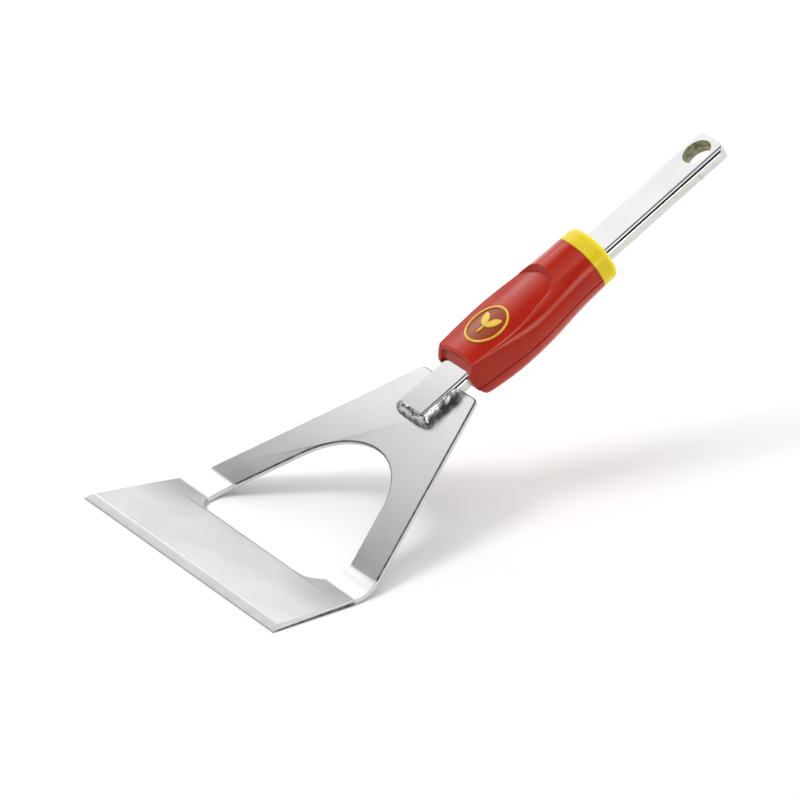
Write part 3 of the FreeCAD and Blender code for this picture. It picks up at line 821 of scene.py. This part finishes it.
def slot_line(columns, upper):
    """Inside edge of a shell's end faces: round the tang for the upper shell, flat for the lower."""
    t = np.linspace(0.0, 1.0, columns)
    half = TANG_WIDTH / 2.0 + SHELL_SLOT_GAP
    if not upper:
        return np.stack([half * (1.0 - 2.0 * t), np.full(columns, PARTING - SEAM_GAP)], axis=-1)
    height = TANG_TOP + SHELL_SLOT_GAP - PARTING
    lengths = np.cumsum([0.0, height, 2.0 * half, height])
    at = t * lengths[-1]
    x = np.interp(at, lengths, [half, half, -half, -half])
    n = np.interp(at, lengths, [PARTING, PARTING + height, PARTING + height, PARTING])
    return np.stack([x, n], axis=-1)


def front_recess(x, n, top):
    """How far the front face stands back between the cheeks, under the lip of the pad."""
    under_lip = smooth_step((top - n - RECESS_LIP) / RECESS_LIP_RUN)
    between_cheeks = smooth_step((RECESS_HALF - np.abs(x)) / RECESS_SIDE_RUN)
    above_tang = smooth_step((n - TANG_BOTTOM) / RECESS_FOOT_RUN)
    return RECESS * under_lip * between_cheeks * above_tang


def end_cap(edge, inner, front):
    """Rows of points from an end edge in to the slot line."""
    rows = []
    for w in np.linspace(0.0, 1.0, CAP_ROWS)[1:]:
        x = edge[:, 0] * (1.0 - w) + inner[:, 0] * w
        n = edge[:, 2] * (1.0 - w) + inner[:, 1] * w
        s = np.full_like(n, edge[0, 1])
        if front:
            s = front_s(n) + front_recess(x, n, edge[:, 2])
            if w < CAP_EDGE_SHARE:
                s = np.maximum(s, edge[:, 1] - CAP_EDGE_DROP)
        rows.append(np.stack([x, s, n], axis=-1))
    return np.array(rows)


def build_shell(name, node, upper):
    """One housing shell: outer skin, rounded seam and ends, end faces and the slot's wall."""
    rows, columns = UPPER_GRID if upper else LOWER_GRID
    grid = with_lips(with_rounded_seams(shell_outside(upper, rows, columns), upper))
    inner = slot_line(grid.shape[1], upper)
    front = end_cap(grid[0], inner, True)[::-1]
    rear = end_cap(grid[-1], inner, False)
    loop = np.concatenate([front, grid, rear], axis=0)
    faces = grid_faces(loop.shape[0], loop.shape[1], close_rows=True)
    return piece(name, on_slope(loop), faces, "housing_plastic", node)


# ---------------------------------------------------------------- collar

def collar_profile():
    """The collar's outside from the front face to the rear, as pairs of inset and s."""
    profile = [(COLLAR_INNER, COLLAR_FRONT), (COLLAR_EDGE, COLLAR_FRONT)]
    for a in np.linspace(0.0, math.pi / 2.0, 5):
        inset = COLLAR_EDGE * (1.0 - math.sin(a))
        profile.append((inset, COLLAR_FRONT + COLLAR_EDGE * (1.0 - math.cos(a))))
    shoulder = COLLAR_REAR - COLLAR_SHOULDER
    for s in np.linspace(COLLAR_FRONT + 2.0 * COLLAR_EDGE, shoulder - COLLAR_EDGE, 8):
        profile.append((0.0, s))
    for a in np.linspace(0.0, math.pi / 2.0, 14):
        inset = COLLAR_SHOULDER * (1.0 - math.cos(a))
        profile.append((inset, shoulder + COLLAR_SHOULDER * math.sin(a)))
    return profile


def ring_row(reach, across, upward, s, centre):
    """Points (x, s, n) at the given reach round a centre height."""
    return np.stack([reach * across, np.full_like(reach, s), centre + reach * upward], axis=-1)


def build_collar():
    """Yellow collar: rounded edges, domed rear shoulder and the slot for the tang."""
    angle = np.linspace(0.0, 2.0 * math.pi, COLLAR_COLUMNS, endpoint=False)
    across = np.cos(angle)
    upward = np.sin(angle)
    half, above, below, power = HOUSING_STATIONS[-1][1:]
    height = np.where(upward > 0, above, below)
    rows = []
    for inset, s in collar_profile():
        reach = superellipse(across, upward, half - inset, height - inset, power)
        rows.append(ring_row(reach, across, upward, s, HOUSING_CENTRE))
    slot_half = TANG_WIDTH / 2.0 + COLLAR_SLOT_GAP
    slot_height = (TANG_TOP - TANG_BOTTOM) / 2.0 + COLLAR_SLOT_GAP
    slot = superellipse(across, upward, slot_half, slot_height, COLLAR_SLOT_POWER)
    for inset, depth in COLLAR_SLOT_EDGE:
        rows.append(ring_row(slot - inset, across, upward, COLLAR_REAR - depth, TANG_MIDDLE))
    faces = grid_faces(len(rows), COLLAR_COLUMNS, close_rows=True, close_columns=True)
    return piece("end_collar", on_slope(rows), faces, "collar_plastic", "collar")


# ---------------------------------------------------------------- materials

class Nodes:
    """Small helper that builds one material's node tree."""

    def __init__(self, name):
        self.material = bpy.data.materials.new(name)
        self.material.use_nodes = True
        self.tree = self.material.node_tree
        self.shader = self.tree.nodes["Principled BSDF"]
        self.place = self.tree.nodes.new("ShaderNodeTexCoord").outputs["Object"]

    def set(self, **values):
        """Sets the shader's own sockets, named with _ for a space."""
        for name, value in values.items():
            self.shader.inputs[name.replace("_", " ")].default_value = value

    def drive(self, **sources):
        """Links sockets to the shader's inputs, named with _ for a space."""
        for name, source in sources.items():
            self.link(source, self.shader.inputs[name.replace("_", " ")])

    def link(self, source, target):
        """Links an output socket to an input socket."""
        self.tree.links.new(source, target)

    def stretched(self, scale, turn=0.0):
        """Object coordinates scaled along X, Y and Z, first turned about X to lie along the slope."""
        mapping = self.tree.nodes.new("ShaderNodeMapping")
        mapping.vector_type = "TEXTURE"
        mapping.inputs["Rotation"].default_value = (turn, 0.0, 0.0)
        mapping.inputs["Scale"].default_value = tuple(1.0 / v for v in scale)
        self.link(self.place, mapping.inputs["Vector"])
        return mapping.outputs["Vector"]

    def noise(self, scale, detail=3.0, roughness=0.5, turn=0.0):
        """Noise with the given number of features per metre along X, Y and Z."""
        node = self.tree.nodes.new("ShaderNodeTexNoise")
        node.inputs["Scale"].default_value = 1.0
        node.inputs["Detail"].default_value = detail
        node.inputs["Roughness"].default_value = roughness
        self.link(self.stretched(scale, turn), node.inputs["Vector"])
        return node.outputs["Fac"]

    def spread(self, value, low, high, new_low, new_high):
        """Value's range from low to high mapped to the range from new_low to new_high."""
        node = self.tree.nodes.new("ShaderNodeMapRange")
        node.inputs["From Min"].default_value = low
        node.inputs["From Max"].default_value = high
        node.inputs["To Min"].default_value = new_low
        node.inputs["To Max"].default_value = new_high
        self.link(value, node.inputs["Value"])
        return node.outputs["Result"]

    def vary(self, value, new_low, new_high):
        """The middle of a noise's range mapped to the range from new_low to new_high."""
        return self.spread(value, 0.3, 0.7, new_low, new_high)

    def math(self, operation, a, b):
        """Result of one sum on two sockets or numbers."""
        node = self.tree.nodes.new("ShaderNodeMath")
        node.operation = operation
        for socket, value in zip(node.inputs, (a, b)):
            if isinstance(value, (int, float)):
                socket.default_value = value
            else:
                self.link(value, socket)
        return node.outputs["Value"]

    def distance(self, vector, point):
        """Distance of a vector socket from a fixed point."""
        node = self.tree.nodes.new("ShaderNodeVectorMath")
        node.operation = "DISTANCE"
        node.inputs[1].default_value = tuple(point)
        self.link(vector, node.inputs[0])
        return node.outputs["Value"]

    def axis(self, vector, name):
        """One coordinate of a vector socket."""
        node = self.tree.nodes.new("ShaderNodeSeparateXYZ")
        self.link(vector, node.inputs["Vector"])
        return node.outputs[name]

    def colours(self, share, first, second):
        """Mix of two fixed colours."""
        node = self.tree.nodes.new("ShaderNodeMix")
        node.data_type = "RGBA"
        node.inputs["A"].default_value = (*first, 1.0)
        node.inputs["B"].default_value = (*second, 1.0)
        self.link(share, node.inputs["Factor"])
        return node.outputs["Result"]

    def blend(self, share, first, second):
        """Mix of a colour socket and a fixed colour."""
        node = self.tree.nodes.new("ShaderNodeMix")
        node.data_type = "RGBA"
        node.inputs["B"].default_value = (*second, 1.0)
        self.link(first, node.inputs["A"])
        self.link(share, node.inputs["Factor"])
        return node.outputs["Result"]

    def bump(self, height, strength, distance_mm, under=None):
        """Normal of a bumpy surface, over the bumps of another normal where one is given."""
        node = self.tree.nodes.new("ShaderNodeBump")
        node.inputs["Strength"].default_value = strength
        node.inputs["Distance"].default_value = distance_mm * MM
        self.link(height, node.inputs["Height"])
        if under is not None:
            self.link(under, node.inputs["Normal"])
        return node.outputs["Normal"]


def bend_painted_reflection(m, cloud):
    """Share of painted dark reflection: a strip of the flat just before the bend, weaker beside the
    window.
    """
    bend_y = (EDGE_Y + FLAT_DEPTH) * MM
    y = m.axis(m.place, "Y")
    near_bend = m.spread(y, bend_y - PAINTED_DARK_START * MM, bend_y - PAINTED_DARK_FULL * MM, 0.0, 1.0)
    in_flat = m.spread(y, bend_y - PAINTED_DARK_END * MM, bend_y + PAINTED_DARK_END * MM, 1.0, 0.0)
    sideways = m.math("ABSOLUTE", m.axis(m.place, "X"), 0.0)
    beside_window = m.spread(sideways, BESIDE_WINDOW[0] * MM, BESIDE_WINDOW[1] * MM, 0.25, 1.0)
    painted_dark = m.math("MULTIPLY", m.math("MULTIPLY", near_bend, beside_window), in_flat)
    return m.math("MULTIPLY", painted_dark, m.vary(cloud, 0.7, 1.0))


def plated_sheet():
    """Satin zinc-plated sheet: fine rolled grain, mottled roughness, and a painted dark reflection in a
    strip before the bend.
    """
    m = Nodes("plated_sheet")
    grain = m.noise((60.0, 1300.0, 1300.0), 3.0, 0.6)
    cloud = m.noise((38.0, 55.0, 55.0))
    fine = m.noise((620.0, 620.0, 620.0))
    tone = m.colours(m.vary(cloud, 0.0, 1.0), (0.575, 0.582, 0.593), (0.618, 0.622, 0.626))
    rough = m.math("ADD", m.spread(grain, 0.25, 0.75, 0.18, 0.25), m.vary(cloud, -0.02, 0.03))
    # The grey mixed in before the bend is a painted dark reflection.
    m.drive(Base_Color=m.blend(bend_painted_reflection(m, cloud), tone, (0.34, 0.346, 0.35)),
            Roughness=rough,
            Normal=m.bump(fine, 0.006, 0.03, m.bump(grain, 0.025, 0.02)))
    m.set(Metallic=1.0)
    return m.material


def sheared_steel_painted_shade():
    """Darker, rougher rim left by the press tool, broken up along its length; its near-black is partly
    painted shade and reflection.
    """
    m = Nodes("sheared_steel_painted_shade")
    streak = m.noise((420.0, 420.0, 420.0), 4.0, 0.65)
    share = m.spread(streak, 0.35, 0.75, 0.0, 1.0)
    m.drive(Base_Color=m.colours(share, (0.045, 0.045, 0.042), (0.30, 0.30, 0.29)),
            Roughness=m.vary(streak, 0.30, 0.45),
            Normal=m.bump(streak, 0.15, 0.05))
    m.set(Metallic=0.8)
    return m.material


def ground_steel():
    """Ground strip of the cutting edge: pale, matt, with cross-wise grinding scratches."""
    m = Nodes("ground_steel")
    scratch = m.noise((2200.0, 120.0, 120.0), 4.0, 0.7)
    cloud = m.noise((160.0, 160.0, 160.0))
    m.drive(Base_Color=m.colours(m.vary(cloud, 0.0, 1.0), (0.66, 0.665, 0.67), (0.73, 0.735, 0.74)),
            Roughness=m.vary(scratch, 0.38, 0.55),
            Normal=m.bump(scratch, 0.10, 0.03))
    m.set(Metallic=0.35)
    return m.material


def tang_steel():
    """Bright plated strip with faint lengthwise drawing lines, darker towards the weld."""
    m = Nodes("tang_steel")
    lines = m.noise((1500.0, 18.0, 1500.0), 4.0, 0.6, SLOPE)
    cloud = m.noise((120.0, 60.0, 120.0), turn=SLOPE)
    tone = m.colours(m.vary(cloud, 0.0, 1.0), (0.535, 0.535, 0.538), (0.578, 0.578, 0.578))
    along = m.axis(m.stretched((1.0, 1.0, 1.0), SLOPE), "Y")
    start = SLOPE_ORIGIN.dot(ALONG)
    near_weld_darkening = m.spread(along, start + DARKER_NEAR_WELD[0] * MM, start + DARKER_NEAR_WELD[1] * MM, 1.0, 0.0)
    m.drive(Base_Color=m.blend(near_weld_darkening, tone, (0.43, 0.43, 0.426)),
            Roughness=m.spread(lines, 0.25, 0.75, 0.09, 0.18),
            Normal=m.bump(lines, 0.06, 0.02))
    m.set(Metallic=1.0)
    return m.material


def flank_painted_reflection():
    """Folded sides of the tang: plating toned as a painted reflection of the floor, with a faint olive
    tint.
    """
    m = Nodes("flank_painted_reflection")
    lines = m.noise((900.0, 30.0, 900.0), 4.0, 0.6, SLOPE)
    m.drive(Base_Color=m.colours(m.vary(lines, 0.0, 1.0), (0.62, 0.63, 0.59), (0.80, 0.81, 0.77)),
            Roughness=m.spread(lines, 0.25, 0.75, 0.30, 0.42))
    m.set(Metallic=0.9)
    return m.material


def hole_wall_painted_shade():
    """Punched wall of the lock hole: olive-brown plating darkened with painted shade, in dark blotches.
    """
    m = Nodes("hole_wall_painted_shade")
    cloud = m.noise((420.0, 420.0, 420.0), 3.0, 0.6)
    share = m.spread(cloud, 0.35, 0.65, 0.0, 1.0)
    m.drive(Base_Color=m.colours(share, (0.16, 0.15, 0.09), (0.46, 0.44, 0.26)),
            Roughness=m.vary(cloud, 0.35, 0.5),
            Normal=m.bump(cloud, 0.2, 0.08))
    m.set(Metallic=0.35)
    return m.material


def weld_metal():
    """Plated weld bead: bright, smoothly lumpy metal with a few dull spots of scale."""
    m = Nodes("weld_metal")
    lump = m.noise((420.0, 420.0, 420.0))
    patch = m.noise((240.0, 240.0, 240.0))
    share = m.spread(patch, 0.38, 0.5, 0.0, 1.0)
    m.drive(Base_Color=m.colours(share, (0.24, 0.237, 0.23), (0.54, 0.54, 0.54)),
            Roughness=m.vary(lump, 0.16, 0.27),
            Normal=m.bump(lump, 0.02, 0.30))
    m.set(Metallic=1.0)
    return m.material


def screw_steel():
    """Zinc-plated screw heads with a mottled surface."""
    m = Nodes("screw_steel")
    cloud = m.noise((500.0, 500.0, 500.0), 3.0, 0.6)
    m.drive(Base_Color=m.colours(m.vary(cloud, 0.0, 1.0), (0.50, 0.50, 0.49), (0.70, 0.70, 0.69)),
            Roughness=m.vary(cloud, 0.22, 0.36))
    m.set(Metallic=1.0)
    return m.material


def moulded(name, first, second, low_rough, high_rough, gloss, field=None):
    """Glossy moulded plastic with faint mottling, orange-peel and hairline scuffs.

    A field colour fills the badge's circle.
    """
    m = Nodes(name)
    cloud = m.noise((60.0, 60.0, 60.0))
    peel = m.noise((420.0, 420.0, 420.0), 2.0)
    scuff = m.noise((1500.0, 70.0, 1500.0), 4.0, 0.7, SLOPE)
    tone = m.colours(m.vary(cloud, 0.0, 1.0), first, second)
    if field is not None:
        from_badge = m.distance(m.place, on_slope([0.0, BADGE_S, PAD_TOP]))
        full = (BADGE_RADIUS - FIELD_FULL) * MM
        start = (BADGE_RADIUS - FIELD_START) * MM
        inside = m.spread(from_badge, full, start, 1.0, 0.0)
        tone = m.blend(inside, tone, field)
    rough = m.math("ADD", m.vary(cloud, low_rough, high_rough), m.spread(scuff, 0.6, 0.85, 0.0, 0.06))
    m.drive(Base_Color=tone,
            Roughness=rough,
            Normal=m.bump(scuff, 0.012, 0.03, m.bump(peel, 0.05, 0.03)))
    m.set(Specular_IOR_Level=gloss, IOR=1.5, Specular_Tint=(1.0, 0.86, 0.72, 1.0))
    return m.material


def paint(objects, *materials):
    """Gives the objects their materials, in the order of their faces' looks."""
    for made in objects:
        looks = [polygon.material_index for polygon in made.data.polygons]
        made.data.materials.clear()
        for material in materials:
            made.data.materials.append(material)
        made.data.polygons.foreach_set("material_index", looks)


# ---------------------------------------------------------------- studio

def add_camera():
    """Long-lens camera at the front right, looking down on the blade."""
    back = Vector((math.sin(CAMERA_AZIMUTH) * math.cos(CAMERA_ELEVATION),
                   -math.cos(CAMERA_AZIMUTH) * math.cos(CAMERA_ELEVATION),
                   math.sin(CAMERA_ELEVATION)))
    turn = (-back).to_track_quat("-Z", "Y")
    aim = (cad_bounds[0] + cad_bounds[1]) / 2.0
    aim -= turn @ Vector((CENTRE_RIGHT_OF_PICTURE, CENTRE_ABOVE_PICTURE, 0.0))
    lens = bpy.data.cameras.new("camera")
    lens.lens = CAMERA_LENS
    lens.sensor_width = 36.0
    lens.clip_end = 100.0
    camera = bpy.data.objects.new("camera", lens)
    camera.location = aim + back * CAMERA_DISTANCE
    camera.rotation_mode = "QUATERNION"
    camera.rotation_quaternion = turn
    bpy.context.scene.collection.objects.link(camera)
    bpy.context.scene.camera = camera


def add_softbox(name, centre, aim, size, radiance, lights):
    """Rectangular area light, seen in reflections, lighting surfaces, or both."""
    light = bpy.data.lights.new(name, "AREA")
    light.shape = "RECTANGLE"
    light.size = size[0]
    light.size_y = size[1]
    light.energy = radiance * math.pi * size[0] * size[1]
    box = bpy.data.objects.new(name, light)
    box.location = centre
    box.rotation_mode = "QUATERNION"
    box.rotation_quaternion = (Vector(aim) - Vector(centre)).to_track_quat("-Z", "Y")
    box.visible_glossy = lights[0]
    box.visible_diffuse = lights[1]
    bpy.context.scene.collection.objects.link(box)


def add_floor():
    """Plain pale floor."""
    mesh = bpy.data.meshes.new("floor")
    corners = [(x * FLOOR_REACH, y * FLOOR_REACH, FLOOR_LEVEL)
               for x, y in ((-1, -1), (1, -1), (1, 1), (-1, 1))]
    mesh.from_pydata(corners, [], [(0, 1, 2, 3)])
    floor = bpy.data.objects.new("floor", mesh)
    bpy.context.scene.collection.objects.link(floor)
    m = Nodes("floor_card")
    m.set(Base_Color=(FLOOR_GREY, FLOOR_GREY, FLOOR_GREY, 1.0), Roughness=0.9, Specular_IOR_Level=0.0)
    floor.data.materials.append(m.material)


def wall_glow(tree, where, direction, low, high, strength):
    """Socket that rises from 0 to the strength as the view turns to the wall's direction."""
    dot = tree.nodes.new("ShaderNodeVectorMath")
    dot.operation = "DOT_PRODUCT"
    dot.inputs[1].default_value = Vector(direction).normalized()
    tree.links.new(where, dot.inputs[0])
    glow = tree.nodes.new("ShaderNodeMapRange")
    glow.interpolation_type = "SMOOTHSTEP"
    glow.inputs["From Min"].default_value = low
    glow.inputs["From Max"].default_value = high
    glow.inputs["To Max"].default_value = strength
    tree.links.new(dot.outputs["Value"], glow.inputs["Value"])
    return glow.outputs["Result"]


def add_surroundings():
    """Studio walls as a soft sky: pale at the far left, front left and back right, darker elsewhere."""
    world = bpy.data.worlds.new("studio")
    bpy.context.scene.world = world
    world.use_nodes = True
    tree = world.node_tree
    where = tree.nodes.new("ShaderNodeTexCoord").outputs["Generated"]
    total = wall_glow(tree, where, *WALLS[0])
    for wall in WALLS[1:]:
        add = tree.nodes.new("ShaderNodeMath")
        tree.links.new(total, add.inputs[0])
        tree.links.new(wall_glow(tree, where, *wall), add.inputs[1])
        total = add.outputs["Value"]
    background = tree.nodes["Background"]
    tree.links.new(total, background.inputs["Strength"])
    background.inputs["Color"].default_value = (1.0, 1.0, 1.0, 1.0)


def add_studio():
    """Camera, floor and lights."""
    add_camera()
    add_floor()
    add_surroundings()
    for softbox in SOFTBOXES:
        add_softbox(*softbox)
    bpy.context.scene.view_settings.view_transform = "Standard"


# ---------------------------------------------------------------- assembly

def build():
    """Every visible piece, with its material."""
    blade = build_blade()
    tang = refined("plug_tang", "tang", "tang_steel", 0.3, 3, tang_look)
    beads = build_welds()
    shells = [build_shell("shell_upper", "housing_upper_shell", True),
              build_shell("shell_lower", "housing_lower_shell", False)]
    collar = build_collar()
    ring = refined("badge_outer_ring", "badge_ring", "badge_plastic", 0.12)
    sprout = refined("badge_leaf_mark", "badge_sprout", "badge_plastic", 0.1)
    screws = refined("housing_screws", "shell_screws", "screw_steel", 0.25)
    # The blade's sheared rim carries painted shade and reflection.
    paint([blade], plated_sheet(), sheared_steel_painted_shade(), ground_steel())
    # The tang's hole wall carries painted shade, and its flank a painted reflection.
    paint([tang], tang_steel(), hole_wall_painted_shade(), flank_painted_reflection())
    paint([screws], screw_steel())
    paint(beads, weld_metal())
    red = moulded("red_plastic", (0.45, 0.011, 0.002), (0.51, 0.016, 0.003), 0.20, 0.27, 0.38,
                  (0.33, 0.045, 0.012))
    paint(shells, red)
    yellow = moulded("yellow_plastic", (0.86, 0.65, 0.005), (0.90, 0.70, 0.008), 0.26, 0.34, 0.38)
    paint([collar], yellow)
    badge = moulded("badge_yellow", (0.84, 0.55, 0.05), (0.90, 0.63, 0.09), 0.28, 0.36, 0.45)
    paint([ring, sprout], badge)


build()
add_studio()

bpy.context.view_layer.update()
